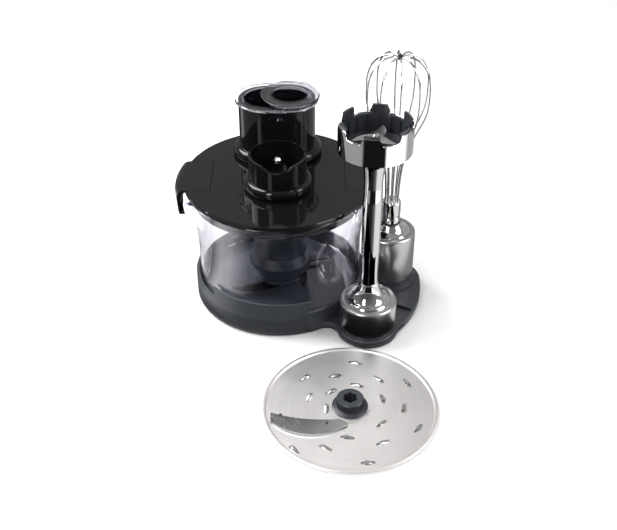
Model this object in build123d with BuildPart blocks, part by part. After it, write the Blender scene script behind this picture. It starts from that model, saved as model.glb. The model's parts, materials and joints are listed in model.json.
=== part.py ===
from build123d import *
import math
import os

os.makedirs("parts", exist_ok=True)

# ------------------------------------------------------------------ driving dimensions (mm)
# Every place below is measured from the bowl's axis, with the table at height 0.

FIT = 0.3                 # gap between two pieces that lift apart
SNUG = 0.05               # gap between a shaft and its bush

# base
PAN_R = 89.0              # the round pan that the bowl stands in
PAN_IN_R = 85.0
EASE = 0.8                # small bevel on the pan's edges
PAN_TOP = 27.0
PAN_FLOOR = 8.0
SKIN = 2.4                # wall thickness of the moulded base
PLATE_TOP = 4.0           # the black plate that closes the base from below
PLATFORM_TOP = 9.0
SHELF_TOP = 12.0
LOBE_R = 31.0             # the lobe that the blending leg stands on
HUMP_R = 34.8             # foot of the pedestal that the whisk stands on
HUMP_TOP_R = 26.8
HUMP_TOP = 20.0
WING_R = 124.5            # the long outer edge from the lobe to the pedestal
WING_TURN = 2.6
BAND_FROM, BAND_TO = 220.0, 292.0
BAND_R = 91.2
BAND_LOW, BAND_TOP = 21.5, 39.5
BAND_SLANT = 8.0          # its ends lean back by this much at the bottom
LEG_X, LEG_Y = 89.6, -77.7
WHISK_X, WHISK_Y = 115.0, 0.0
FOOT_R = 7.0

# bowl and lid
BOWL_LOW = PAN_FLOOR + FIT
BOWL_R = 84.0
BOWL_MOUTH_R = 90.0
BOWL_WALL = 2.4
RIM_TOP = 131.0
RIM_R = 93.5
LID_R = 95.0
LID_LOW = RIM_TOP + FIT
LID_TOP = 136.0
SKIRT_R = 86.0
SKIRT_LOW = 118.0
PIN_R = 4.0

# drive in the lid
INPUT_Y = -18.0           # the motor drives here, in front of the bowl's axis
GEAR_MODULE = 1.0
PINION_TEETH = 12
GEAR_TEETH = 24
GEAR_LOW, GEAR_TOP = 121.0, 128.0
BOX_LOW = 112.0
SOCKET_R = 28.5
SOCKET_TOP = 171.0
SOCKET_WALL = 2.5
SOCKET_COLLAR_R = 33.5
NOTCH_DEPTH = 6.5
NOTCH_HALF_ANGLE = 38.0
COLLAR_H = 11.0
BEAD_LOW_R = 4.0          # rounding under the collars of the socket and the chute
DRIVE_PIN_R = 3.5
DRIVE_PIN_TOP = 168.0
STAR_R = 6.2              # lobed spindle that turns the tools
STAR_LOW = 100.0

# chute and pushers
CHUTE_X, CHUTE_Y = -2.0, 51.0
CHUTE_L, CHUTE_W = 78.0, 56.0
CHUTE_WALL = 2.5
CHUTE_TOP = 195.0
CHUTE_LOW = 124.0
COLLAR_WIDTH = 7.0
PUSHER_TOP = 198.0
PUSHER_LOW = 142.0
SMALL_X, SMALL_Y = 11.5, 52.0
SMALL_R = 20.4
SMALL_HOLE_R = 18.0
SMALL_FLANGE_R = 30.0
SMALL_TOP = 201.0

# latches
LATCH_IN = 67.0
LATCH_HALF = 29.0
LATCH_REACH = 103.8
LATCH_LOW = 109.0
LATCH_PIN_X, LATCH_PIN_Z = 96.4, 129.5
EAR_Y = 16.0
CATCH_R = 96.6
LATCH_GAP = 0.5

# chopping blade
HUB_LOW = 17.0
LOWER_BLADE_REACH = 58.0
UPPER_BLADE_REACH = 50.0
BLADE_THICK = 1.2
UPPER_BLADE_Z = 27.0

# blending leg
LEG_CUP_R = 28.3
LEG_CUP_TOP = 41.0
LEG_LOW = PLATFORM_TOP + FIT
LEG_RING_R = 34.0
LEG_RING_LOW, LEG_RING_TOP = 210.0, 237.2
LEG_RING_VALLEY = 230.5
LEG_TAB_TOP = 238.8
LEG_TAB_VALLEY = 229.8
LEG_SHAFT_R = 3.0
LEG_BLADE_Z = 222.0

# whisk and its gearbox
WHISK_LOW = HUMP_TOP + FIT
WHISK_CUP_R = 26.4
WHISK_CUP_TOP = 72.0
WHISK_GEAR_MODULE = 0.8
SUN_TEETH, PLANET_TEETH, RING_TEETH = 12, 18, 48
WHISK_GEAR_LOW, WHISK_GEAR_TOP = 52.0, 59.0
COLLAR_TOP = 107.0
WIRE_R = 0.9
WIRE_COUNT = 10
WHISK_TOP = 266.5

# slicing and grating disc
DISC_X, DISC_Y = 68.4, -190.5
DISC_R = 82.2
DISC_THICK = 0.8
DISC_Z = 1.5

# The origin is the middle of the whole set's footprint.
BOWL_X = (LATCH_REACH - (DISC_X + DISC_R)) / 2
BOWL_Y = (DISC_R - DISC_Y - LID_R) / 2


# ------------------------------------------------------------------ helpers
def level(z, x=0.0, y=0.0, turn=0.0):
    """A horizontal plane at height z, its centre at x, y from the bowl's axis."""
    a = math.radians(turn)
    return Plane(origin=(BOWL_X + x, BOWL_Y + y, z), x_dir=(math.cos(a), math.sin(a), 0), z_dir=(0, 0, 1))


def upright(x=0.0, y=0.0, turn=0.0):
    """A vertical plane through an axis: its X points outward at turn, its Y points up."""
    a = math.radians(turn)
    outward = (math.cos(a), math.sin(a), 0)
    return Plane(origin=(BOWL_X + x, BOWL_Y + y, 0), x_dir=outward, z_dir=(math.sin(a), -math.cos(a), 0))


def axis_at(x=0.0, y=0.0):
    """The vertical axis at x, y from the bowl's axis."""
    return Axis((BOWL_X + x, BOWL_Y + y, 0), (0, 0, 1))


def spin(points, x=0.0, y=0.0, mode=Mode.ADD, turn=0.0, arc=360.0):
    """Turn an outline of (radius, height) points about the axis at x, y."""
    with BuildSketch(upright(x, y, turn)) as outline:
        with BuildLine():
            Polyline(*points, close=True)
        make_face()
    revolve(outline.sketch, axis=axis_at(x, y), revolution_arc=arc, mode=mode)


def ring(low, high, outer, inner, x=0.0, y=0.0, mode=Mode.ADD):
    """A plain ring, or a cylinder when inner is 0."""
    with BuildSketch(level(low, x, y)) as section:
        Circle(outer)
        if inner > 0:
            Circle(inner, mode=Mode.SUBTRACT)
    extrude(section.sketch, amount=high - low, mode=mode)


def polar(radius, angle):
    """A point at radius and angle (degrees)."""
    return radius * math.cos(math.radians(angle)), radius * math.sin(math.radians(angle))


def save(builder, label):
    """Name a finished piece and write it as its own file."""
    builder.part.label = label
    export_step(builder.part, f"parts/{label}.step")


def half_tooth(module, teeth, radius, slack):
    """Half of an involute tooth's angle at a radius, in degrees, thinned by slack (mm) a side."""
    pitch_r = module * teeth / 2
    base_r = pitch_r * math.cos(math.radians(20))
    pressure = math.acos(min(1.0, base_r / radius))
    involute = math.tan(pressure) - pressure
    at_pitch = math.tan(math.radians(20)) - math.radians(20)
    angle = math.pi / (2 * teeth) + at_pitch - involute - slack / pitch_r
    return math.degrees(angle)


def gear_points(module, teeth, root_r, tip_r, slack, first):
    """The outline of a spur gear with flat-sided teeth; first is one tooth's angle."""
    pitch_r = module * teeth / 2
    radii = (root_r, pitch_r, tip_r)
    points = []
    for index in range(teeth):
        centre = first + index * 360 / teeth
        for radius in radii:
            points.append(polar(radius, centre - half_tooth(module, teeth, radius, slack)))
        for radius in reversed(radii):
            points.append(polar(radius, centre + half_tooth(module, teeth, radius, slack)))
    return points


def spur_gear(points, low, high, x, y, bore_r):
    """A spur gear between two heights with a round bore."""
    with BuildSketch(level(low, x, y)) as section:
        with BuildLine():
            Polyline(*points, close=True)
        make_face()
        Circle(bore_r, mode=Mode.SUBTRACT)
    extrude(section.sketch, amount=high - low)


def star_sketch(plane, radius, lobes=6, depth=1.1):
    """A lobed spindle's section: a circle with round flutes between its lobes."""
    with BuildSketch(plane) as star:
        Circle(radius)
        with PolarLocations(radius + 0.9, lobes):
            Circle(0.9 + depth, mode=Mode.SUBTRACT)
    return star.sketch


def screw(head_z, length, x, y, shank_r=1.4, head_r=2.8, head_h=2.0):
    """A round-headed screw that points up from its head."""
    ring(head_z - head_h, head_z, head_r, 0, x, y)
    ring(head_z, head_z + length, shank_r, 0, x, y)
    with BuildSketch(level(head_z - head_h, x, y)) as slot:
        Rectangle(head_r * 1.3, 0.7)
        Rectangle(0.7, head_r * 1.3)
    extrude(slot.sketch, amount=1.0, mode=Mode.SUBTRACT)


# ------------------------------------------------------------------ base
WING_CENTRE = (WHISK_X - (WING_R - HUMP_R) * math.cos(math.radians(WING_TURN)),
               WHISK_Y - (WING_R - HUMP_R) * math.sin(math.radians(WING_TURN)))
BASE_BLENDS = (((61.7, -64.1), 12), ((86.1, 22.5), 14), ((119.8, -84.6), 12))
BASE_FEET = ((-60.0, -45.0), (-60.0, 45.0), (20.0, 72.0), (116.0, 14.0), (92.0, -88.0))
BASE_SCREWS = ((-70.0, 0.0), (-12.0, -70.0), (-12.0, 70.0), (97.0, -60.0), (128.0, -40.0))


def wing_sector(start, edge_r):
    """The sector between the pan and the long outer edge, from an angle to the pedestal."""
    with BuildSketch() as sector:
        with BuildLine():
            edge = CenterArc(WING_CENTRE, edge_r, start, WING_TURN - start)
            Line(WING_CENTRE, edge @ 0)
            Line(edge @ 1, WING_CENTRE)
        make_face()
    return sector.sketch


def base_plan(z, inset=0.0, blends=()):
    """The base seen from above: pan, pedestal, lobe and outer edge, with blended corners."""
    with BuildSketch(level(z)) as plan:
        Circle(PAN_R - inset)
        with Locations((WHISK_X, WHISK_Y)):
            Circle(HUMP_R - inset)
        with Locations((LEG_X, LEG_Y)):
            Circle(LOBE_R - inset)
        add(wing_sector(-50, WING_R - inset))
        for corner, blend_r in blends:
            fillet(plan.vertices().sort_by_distance(corner)[0], blend_r)
    return plan.sketch


def pedestal(inset, mode=Mode.ADD):
    """The pedestal that the whisk stands on, drawn in by inset, with its concave flare."""
    foot_r, top_r = HUMP_R - inset, HUMP_TOP_R - inset
    foot_z, top_z = PLATFORM_TOP - inset, HUMP_TOP - inset
    with BuildSketch(upright(WHISK_X, WHISK_Y)) as half:
        with BuildLine():
            Polyline((0, top_z), (0, PLATE_TOP), (foot_r, PLATE_TOP), (foot_r, foot_z))
            Spline((foot_r, foot_z), (top_r, top_z), tangents=((-1, 0), (0, 1)))
            Line((top_r, top_z), (0, top_z))
        make_face()
    revolve(half.sketch, axis=axis_at(WHISK_X, WHISK_Y), mode=mode)


with BuildPart() as base_tray:
    extrude(base_plan(PLATE_TOP, blends=BASE_BLENDS), amount=PLATFORM_TOP - PLATE_TOP)
    fillet(base_tray.faces().sort_by(Axis.Z)[-1].edges(), 1.2)
    with BuildSketch(level(PLATFORM_TOP - 1)):
        add(wing_sector(-26, WING_R - 1.5))
    extrude(amount=SHELF_TOP - PLATFORM_TOP + 1)
    pedestal(0)
    spin([(0, PLATE_TOP), (PAN_R, PLATE_TOP), (PAN_R, PAN_TOP - EASE), (PAN_R - EASE, PAN_TOP), (0, PAN_TOP)])
    spin([(0, PAN_FLOOR), (PAN_IN_R, PAN_FLOOR), (PAN_IN_R, PAN_TOP - EASE), (PAN_IN_R + EASE, PAN_TOP),
          (0, PAN_TOP)], mode=Mode.SUBTRACT)
    ring(PLATFORM_TOP, PLATFORM_TOP + 5, 19.0, 0, LEG_X, LEG_Y)
    ring(HUMP_TOP, HUMP_TOP + 8, 17.0, 0, WHISK_X, WHISK_Y)
    # room in the pan's wall for the whisk's cup
    ring(HUMP_TOP, PAN_TOP, WHISK_CUP_R + 0.6, 17.0, WHISK_X, WHISK_Y, mode=Mode.SUBTRACT)
    # hollow underneath
    extrude(base_plan(PLATE_TOP, SKIN), amount=PAN_FLOOR - SKIN - PLATE_TOP, mode=Mode.SUBTRACT)
    pedestal(SKIN + 0.4, mode=Mode.SUBTRACT)
    ring(PLATE_TOP, PLATFORM_TOP + 3, 16.6, 0, LEG_X, LEG_Y, mode=Mode.SUBTRACT)
    ring(PLATE_TOP, HUMP_TOP + 6, 14.6, 0, WHISK_X, WHISK_Y, mode=Mode.SUBTRACT)
    for boss_x, boss_y in BASE_SCREWS:
        ring(PLATE_TOP, PAN_FLOOR - SKIN + 0.5, 3.6, 0, boss_x, boss_y)
        ring(PLATE_TOP, PAN_FLOOR - SKIN, 1.45, 0, boss_x, boss_y, mode=Mode.SUBTRACT)
save(base_tray, "base_tray")

with BuildPart() as front_band:
    spin([(PAN_R + 0.05, BAND_LOW), (BAND_R - 1, BAND_LOW), (BAND_R, BAND_LOW + 1), (BAND_R, BAND_TOP - 1),
          (BAND_R - 1, BAND_TOP), (PAN_R - 2.5, BAND_TOP), (PAN_R - 2.5, PAN_TOP + 0.05),
          (PAN_R + 0.05, PAN_TOP + 0.05)], turn=BAND_FROM, arc=BAND_TO - BAND_FROM)
    for end_turn, inward in ((BAND_FROM, 1), (BAND_TO, -1)):
        end_x, end_y = polar(1, end_turn)
        facing_out = Plane(origin=(BOWL_X, BOWL_Y, 0), x_dir=(-end_y, end_x, 0), z_dir=(end_x, end_y, 0))
        with BuildSketch(facing_out) as slanted_end:
            with BuildLine():
                Polyline((inward * BAND_SLANT, BAND_LOW), (-inward, BAND_LOW), (-inward, BAND_TOP),
                         (0, BAND_TOP), close=True)
            make_face()
        extrude(slanted_end.sketch, amount=BAND_R + 5, mode=Mode.SUBTRACT)
save(front_band, "front_band")

with BuildPart() as base_plate:
    extrude(base_plan(1.0, blends=BASE_BLENDS), amount=PLATE_TOP - 1.0)
    chamfer(base_plate.faces().sort_by(Axis.Z)[0].edges(), 1.0)
    for foot_x, foot_y in BASE_FEET:
        ring(1.0, 2.2, FOOT_R + 0.05, 0, foot_x, foot_y, mode=Mode.SUBTRACT)
    for screw_x, screw_y in BASE_SCREWS:
        ring(1.0, PLATE_TOP, 1.6, 0, screw_x, screw_y, mode=Mode.SUBTRACT)
        ring(1.0, 3.0, 3.1, 0, screw_x, screw_y, mode=Mode.SUBTRACT)
save(base_plate, "base_plate")

with BuildPart() as base_feet:
    for foot_x, foot_y in BASE_FEET:
        ring(0.0, 2.2, FOOT_R, 0, foot_x, foot_y)
    chamfer(base_feet.edges().group_by(Axis.Z)[0], 0.5)
save(base_feet, "base_feet")

with BuildPart() as base_screws:
    for screw_x, screw_y in BASE_SCREWS:
        screw(3.0, 2.4, screw_x, screw_y, head_h=1.6)
save(base_screws, "base_screws")

# ------------------------------------------------------------------ bowl
with BuildPart() as bowl:
    with BuildSketch(upright()) as bowl_half:
        with BuildLine():
            Line((0, BOWL_LOW), (BOWL_R - 9, BOWL_LOW))
            corner = TangentArc((BOWL_R - 9, BOWL_LOW), (BOWL_R, BOWL_LOW + 9), tangent=(1, 0))
            straight = Line(corner @ 1, (BOWL_R, 62))
            Spline(straight @ 1, (BOWL_R + 2.2, 92), (BOWL_MOUTH_R, RIM_TOP - 4), tangents=((0, 1), (0.12, 1)))
            Polyline((BOWL_MOUTH_R, RIM_TOP - 4), (RIM_R - 0.8, RIM_TOP - 3), (RIM_R, RIM_TOP - 2.2),
                     (RIM_R, RIM_TOP - 0.6), (RIM_R - 0.6, RIM_TOP), (BOWL_MOUTH_R - BOWL_WALL, RIM_TOP))
            mouth = Spline((BOWL_MOUTH_R - BOWL_WALL, RIM_TOP), (BOWL_R + 2.2 - BOWL_WALL, 92),
                           (BOWL_R - BOWL_WALL, 62), tangents=((-0.12, -1), (0, -1)))
            inside = Line(mouth @ 1, (BOWL_R - BOWL_WALL, BOWL_LOW + 9))
            bend = TangentArc(inside @ 1, (BOWL_R - 9, BOWL_LOW + BOWL_WALL), tangent=(0, -1))
            Line(bend @ 1, (11, BOWL_LOW + BOWL_WALL))
            Polyline((11, BOWL_LOW + BOWL_WALL), (7.5, BOWL_LOW + 6), (0, BOWL_LOW + 6), (0, BOWL_LOW))
        make_face()
    revolve(axis=axis_at())
    ring(BOWL_LOW + 2, BOWL_LOW + 6, PIN_R, 0, mode=Mode.SUBTRACT)
save(bowl, "bowl")

with BuildPart() as bowl_catches:
    # one under each latch, moulded onto the wall
    for side in (0, 180):
        spin([(87.5, 111.5), (CATCH_R, 114), (CATCH_R, 116.5), (87.5, 116.5)], turn=side - 12, arc=24)
    add(bowl.part, mode=Mode.SUBTRACT)
save(bowl_catches, "bowl_catches")

with BuildPart() as bowl_pin:
    spin([(0, BOWL_LOW + 2), (PIN_R, BOWL_LOW + 2), (PIN_R, 44), (PIN_R - 1.5, 46), (0, 46)])
save(bowl_pin, "bowl_pin")

# ------------------------------------------------------------------ chopping blade
def blade_arms(z, reach, turn):
    """Two sickle-shaped arms, swept back from the hub to a pointed tip."""
    for arm_turn in (turn, turn + 180):
        with BuildSketch(level(z, turn=arm_turn)) as arm:
            with BuildLine():
                outer = ThreePointArc(polar(18, 100), polar(0.66 * reach, 29), (reach, 0))
                inner = ThreePointArc(outer @ 1, polar(0.49 * reach, 13), polar(12, 40))
                Line(inner @ 1, outer @ 0)
            make_face()
        extrude(arm.sketch, amount=BLADE_THICK)


with BuildPart() as blade_hub:
    spin([(PIN_R + 4, HUB_LOW), (20, HUB_LOW), (22, 18), (27, 19.5), (29, 22), (29, 25), (31.5, 30),
          (32.6, 37), (32.2, 41), (29.5, 47), (27.6, 51), (26.5, 58), (25.2, 78), (24.2, 96), (22.8, 98),
          (STAR_R + 1.6, 98), (STAR_R + 1.6, 56), (PIN_R + 4, 54)])
    spin([(11, 33), (29, 33), (30, 37), (29.6, 41), (26.8, 47), (24.8, 52), (23.6, 58), (22.0, 95), (11, 95)],
         mode=Mode.SUBTRACT)
save(blade_hub, "blade_hub")

with BuildPart() as hub_socket:
    ring(80, BOX_LOW - 0.6, STAR_R + 1.6, 0)
    ring(98, BOX_LOW - 0.6, 12.0, 0)
    chamfer(hub_socket.edges().group_by(Axis.Z)[-1], 0.6)
    extrude(star_sketch(level(86), STAR_R + 0.4), amount=30, mode=Mode.SUBTRACT)
save(hub_socket, "hub_socket")

with BuildPart() as hub_bushes:
    for bush_z in (HUB_LOW + 1, 37):
        ring(bush_z, bush_z + 8, PIN_R + 4, PIN_R + SNUG)
save(hub_bushes, "hub_bushes")

with BuildPart() as lower_blade:
    blade_arms(HUB_LOW - BLADE_THICK, LOWER_BLADE_REACH, 209)
    ring(HUB_LOW - BLADE_THICK, HUB_LOW, 19, 0)
    ring(HUB_LOW - 2, HUB_LOW + 1, PIN_R + 4, 0, mode=Mode.SUBTRACT)
save(lower_blade, "lower_blade")

with BuildPart() as upper_blade:
    blade_arms(UPPER_BLADE_Z, UPPER_BLADE_REACH, 120)
    ring(UPPER_BLADE_Z, UPPER_BLADE_Z + BLADE_THICK, 16, 0)
    ring(UPPER_BLADE_Z - 1, UPPER_BLADE_Z + 3, PIN_R + 4.5, 0, mode=Mode.SUBTRACT)
save(upper_blade, "upper_blade")

with BuildPart() as blade_clamp:
    ring(HUB_LOW - BLADE_THICK - 3.2, HUB_LOW - BLADE_THICK, 19, 13)
    chamfer(blade_clamp.edges().group_by(Axis.Z)[0], 0.6)
save(blade_clamp, "blade_clamp")


# ------------------------------------------------------------------ lid
def oval(z, grow=0.0):
    """The chute's section, a circle drawn out along X, grown by grow."""
    with BuildSketch(level(z, CHUTE_X, CHUTE_Y)) as section:
        SlotOverall(CHUTE_L + 2 * grow, CHUTE_W + 2 * grow)
    return section.sketch


GEARBOX_SCREWS = ((-20.4, 0.0), (20.4, 0.0), (0.0, -32.8))


def gearbox_outline(z, grow):
    """The gearbox seen from above, round both gears."""
    with BuildSketch(level(z)) as outline:
        Circle(14.6 + grow)
        with Locations((0, INPUT_Y)):
            Circle(9.0 + grow)
        make_hull()
    return outline.sketch


with BuildPart() as lid:
    ring(LID_LOW, LID_TOP, LID_R, 0)
    chamfer(lid.edges().group_by(Axis.Z)[0], 1.2)
    chamfer(lid.edges().group_by(Axis.Z)[-1], 0.5)
    ring(SKIRT_LOW, LID_LOW, SKIRT_R, SKIRT_R - 2.2)
    ring(121.2, 122.8, SKIRT_R + 1, SKIRT_R - 0.9, mode=Mode.SUBTRACT)
    for boss_x, boss_y in GEARBOX_SCREWS:
        ring(GEAR_TOP + 0.05, LID_LOW, 3.6, 0, boss_x, boss_y)
        ring(GEAR_TOP, LID_LOW + 3, 1.45, 0, boss_x, boss_y, mode=Mode.SUBTRACT)
    # opening that the chute is set in
    extrude(oval(LID_LOW - 5, 0.05), amount=20, mode=Mode.SUBTRACT)
    # bearing seats for both shafts
    ring(LID_LOW - 1, LID_TOP + 1, 7.0, 0, 0, INPUT_Y, mode=Mode.SUBTRACT)
    ring(LID_LOW - 1, LID_LOW + 2.7, 7.0, 0, mode=Mode.SUBTRACT)
    # a pocket under each latch, deep inside the rim and shallow over it
    for side in (0, 180):
        with BuildSketch(level(LID_TOP, turn=side)) as over_rim:
            with Locations(((LATCH_IN - LATCH_GAP + 110) / 2, 0)):
                Rectangle(110 - LATCH_IN + LATCH_GAP, 2 * (LATCH_HALF + LATCH_GAP))
        extrude(over_rim.sketch, amount=-3.4, mode=Mode.SUBTRACT)
        with BuildSketch(level(LID_LOW - 2.4, turn=side)) as floor:
            with Locations(((LATCH_IN - 2.5 + SKIRT_R - 1) / 2, 0)):
                Rectangle(SKIRT_R - 1 - LATCH_IN + 2.5, 2 * (LATCH_HALF + 2.5))
            Circle(SKIRT_R - 1, mode=Mode.INTERSECT)
        extrude(floor.sketch, amount=2.4)
        with BuildSketch(level(LID_LOW - 0.8, turn=side)) as well:
            with Locations(((LATCH_IN - LATCH_GAP + SKIRT_R - 2) / 2, 0)):
                Rectangle(SKIRT_R - 2 - LATCH_IN + LATCH_GAP, 2 * (LATCH_HALF + LATCH_GAP))
            Circle(SKIRT_R - 2, mode=Mode.INTERSECT)
        extrude(well.sketch, amount=6, mode=Mode.SUBTRACT)
        # two ears outside the rim carry the latch's pin
        for ear_y in (-EAR_Y, EAR_Y):
            with BuildSketch(level(LATCH_PIN_Z - 2.2, turn=side)) as ear:
                with Locations((LATCH_PIN_X - 0.6, ear_y)):
                    Rectangle(5.2, 3.0)
            extrude(ear.sketch, amount=4.0)
            with BuildSketch(level(LID_LOW, turn=side)) as ear_root:
                with Locations((91, ear_y)):
                    Rectangle(12, 3.0)
            extrude(ear_root.sketch, amount=1.2)
        with BuildSketch(upright(turn=side)) as pin_hole:
            with Locations((LATCH_PIN_X, LATCH_PIN_Z)):
                Circle(1.25)
        extrude(pin_hole.sketch, amount=30, both=True, mode=Mode.SUBTRACT)
save(lid, "lid")

with BuildPart() as lid_seal:
    ring(121.2, 122.8, SKIRT_R + 0.5, SKIRT_R - 0.9)
    chamfer(lid_seal.edges().filter_by(GeomType.CIRCLE).sort_by(SortBy.RADIUS)[-2:], 0.5)
save(lid_seal, "lid_seal")

with BuildPart() as latch_pins:
    for side in (0, 180):
        with BuildSketch(upright(turn=side)) as pin:
            with Locations((LATCH_PIN_X, LATCH_PIN_Z)):
                Circle(1.2)
        extrude(pin.sketch, amount=EAR_Y + 1.6, both=True)
save(latch_pins, "latch_pins")


def make_latch(label, side):
    """A latch: a flush panel in the lid that turns down into a clip outside the rim."""
    with BuildPart() as latch:
        with BuildSketch(upright(turn=side - 25)) as clip_half:
            with BuildLine():
                Line((90, LID_TOP), (96, LID_TOP))
                shoulder = TangentArc((96, LID_TOP), (LATCH_REACH, LID_TOP - 8.5), tangent=(1, 0))
                outside = Line(shoulder @ 1, (LATCH_REACH - 1.0, LATCH_LOW + 0.8))
                Polyline(outside @ 1, (LATCH_REACH - 1.6, LATCH_LOW), (CATCH_R + 0.5, LATCH_LOW),
                         (CATCH_R + 0.5, LATCH_LOW + 2.0), (LATCH_REACH - 3.4, LATCH_LOW + 3.0))
                inside = Line((LATCH_REACH - 3.4, LATCH_LOW + 3.0), (LATCH_REACH - 2.4, LID_TOP - 8.5))
                bend = TangentArc(inside @ 1, (96, LID_TOP - 2.2), tangent=(0, 1))
                Polyline(bend @ 1, (90, LID_TOP - 2.2), (90, LID_TOP))
            make_face()
        revolve(clip_half.sketch, axis=axis_at(), revolution_arc=50)
        with BuildSketch(level(LID_TOP - 2.2, turn=side)) as panel:
            with Locations(((LATCH_IN + 96) / 2, 0)):
                Rectangle(96 - LATCH_IN, 2 * LATCH_HALF)
            Circle(93, mode=Mode.INTERSECT)
        extrude(panel.sketch, amount=2.2)
        with BuildSketch(level(LATCH_LOW - 5, turn=side)) as width:
            with Locations((90, 0)):
                Rectangle(60, 2 * LATCH_HALF)
        extrude(width.sketch, amount=40, mode=Mode.INTERSECT)
        # two knuckles turn on the lid's pin, just inside its ears
        for knuckle_y in (-EAR_Y + 5.0, EAR_Y - 2.0):
            with BuildSketch(upright(turn=side).offset(knuckle_y)) as knuckle:
                with BuildLine():
                    Polyline((LATCH_PIN_X - 2.2, LATCH_PIN_Z - 2.2), (101.5, LATCH_PIN_Z - 2.2),
                             (101.5, LATCH_PIN_Z), (LATCH_PIN_X, LID_TOP - 2.0),
                             (LATCH_PIN_X - 1.0, LID_TOP - 2.0), (LATCH_PIN_X - 1.0, LID_LOW - 0.4),
                             (LATCH_PIN_X - 2.2, LID_LOW - 0.4), close=True)
                make_face()
                with Locations((LATCH_PIN_X, LATCH_PIN_Z)):
                    Circle(1.2 + SNUG, mode=Mode.SUBTRACT)
            extrude(knuckle.sketch, amount=-3.0)
    save(latch, label)


make_latch("right_latch", 0)
make_latch("left_latch", 180)

with BuildPart() as feed_chute:
    extrude(oval(CHUTE_LOW), amount=CHUTE_TOP - CHUTE_LOW)
    extrude(oval(LID_TOP, COLLAR_WIDTH), amount=COLLAR_H)
    collar_edge = feed_chute.faces().filter_by(Axis.Z).sort_by(Axis.Z)[-2].outer_wire().edges()
    fillet(collar_edge, COLLAR_WIDTH - 0.4)
    fillet(feed_chute.faces().filter_by(Axis.Z).sort_by(Axis.Z)[1].outer_wire().edges(), BEAD_LOW_R)
    extrude(oval(CHUTE_LOW, -CHUTE_WALL), amount=CHUTE_TOP - CHUTE_LOW, mode=Mode.SUBTRACT)
    fillet(feed_chute.edges().group_by(Axis.Z)[-1], 0.6)
save(feed_chute, "feed_chute")


def socket_notch(side):
    """A wide wave cut down into the socket's rim at the front or the back."""
    steps = 10
    half_width = SOCKET_R * math.sin(math.radians(NOTCH_HALF_ANGLE))
    waves = [(-half_width + 2 * half_width * i / steps,
              SOCKET_TOP - NOTCH_DEPTH * (1 - math.cos(2 * math.pi * i / steps)) / 2) for i in range(steps + 1)]
    front = Plane(origin=(BOWL_X, BOWL_Y + INPUT_Y, 0), x_dir=(1, 0, 0), z_dir=(0, side, 0))
    with BuildSketch(front) as wave:
        with BuildLine():
            Spline(*waves)
            Polyline(waves[-1], (half_width, SOCKET_TOP + 5), (-half_width, SOCKET_TOP + 5), waves[0])
        make_face()
    return wave.sketch


with BuildPart() as drive_socket:
    ring(LID_TOP, SOCKET_TOP, SOCKET_R, 0, 0, INPUT_Y)
    ring(LID_TOP, LID_TOP + COLLAR_H, SOCKET_COLLAR_R, 0, 0, INPUT_Y)
    collar_rim = drive_socket.edges().filter_by(GeomType.CIRCLE).sort_by(SortBy.RADIUS)[-2:].sort_by(Axis.Z)[-1]
    fillet(collar_rim, SOCKET_COLLAR_R - SOCKET_R - 0.4)
    fillet(drive_socket.edges().group_by(Axis.Z)[0], BEAD_LOW_R)
    ring(LID_TOP + 7, SOCKET_TOP, SOCKET_R - SOCKET_WALL, 0, 0, INPUT_Y, mode=Mode.SUBTRACT)
    ring(LID_TOP, LID_TOP + 7, 7.0, 0, 0, INPUT_Y, mode=Mode.SUBTRACT)
    for side in (1, -1):
        extrude(socket_notch(side), amount=SOCKET_R + 10, mode=Mode.SUBTRACT)
    # two lugs that the motor's bayonet turns under
    for lug_x in (-1, 1):
        with BuildSketch(level(LID_TOP + 20, 0, INPUT_Y)) as lug:
            with Locations((lug_x * (SOCKET_R - SOCKET_WALL - 0.9), 0)):
                Rectangle(2.4, 6)
        extrude(lug.sketch, amount=3)
save(drive_socket, "drive_socket")

with BuildPart() as gearbox_cover:
    extrude(gearbox_outline(BOX_LOW, 2.0), amount=GEAR_TOP + 2.5 - BOX_LOW)
    for lug_x, lug_y in GEARBOX_SCREWS:
        ring(GEAR_TOP - 3, GEAR_TOP, 4.4, 0, lug_x, lug_y)
    extrude(gearbox_outline(BOX_LOW + 3.0, 0), amount=GEAR_TOP + 2.5 - BOX_LOW - 3.0, mode=Mode.SUBTRACT)
    for screw_x, screw_y in GEARBOX_SCREWS:
        ring(GEAR_TOP - 4, GEAR_TOP + 1, 1.6, 0, screw_x, screw_y, mode=Mode.SUBTRACT)
    ring(BOX_LOW, BOX_LOW + 3, 8.0, 0, mode=Mode.SUBTRACT)
    ring(BOX_LOW, BOX_LOW + 3, 5.5, 0, 0, INPUT_Y, mode=Mode.SUBTRACT)
save(gearbox_cover, "gearbox_cover")

with BuildPart() as gearbox_screws:
    for screw_x, screw_y in GEARBOX_SCREWS:
        screw(GEAR_TOP - 3, 8.0, screw_x, screw_y)
save(gearbox_screws, "gearbox_screws")

with BuildPart() as input_bushes:
    ring(LID_LOW, LID_TOP + 7, 7.0, DRIVE_PIN_R + SNUG, 0, INPUT_Y)
    ring(BOX_LOW, BOX_LOW + 5, 5.5, DRIVE_PIN_R + SNUG, 0, INPUT_Y)
save(input_bushes, "input_bushes")

with BuildPart() as output_bushes:
    ring(LID_LOW - 2, LID_LOW + 2.7, 7.0, 4.0 + SNUG)
    ring(BOX_LOW, BOX_LOW + 5, 8.0, STAR_R + 0.3 + SNUG)
save(output_bushes, "output_bushes")

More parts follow.
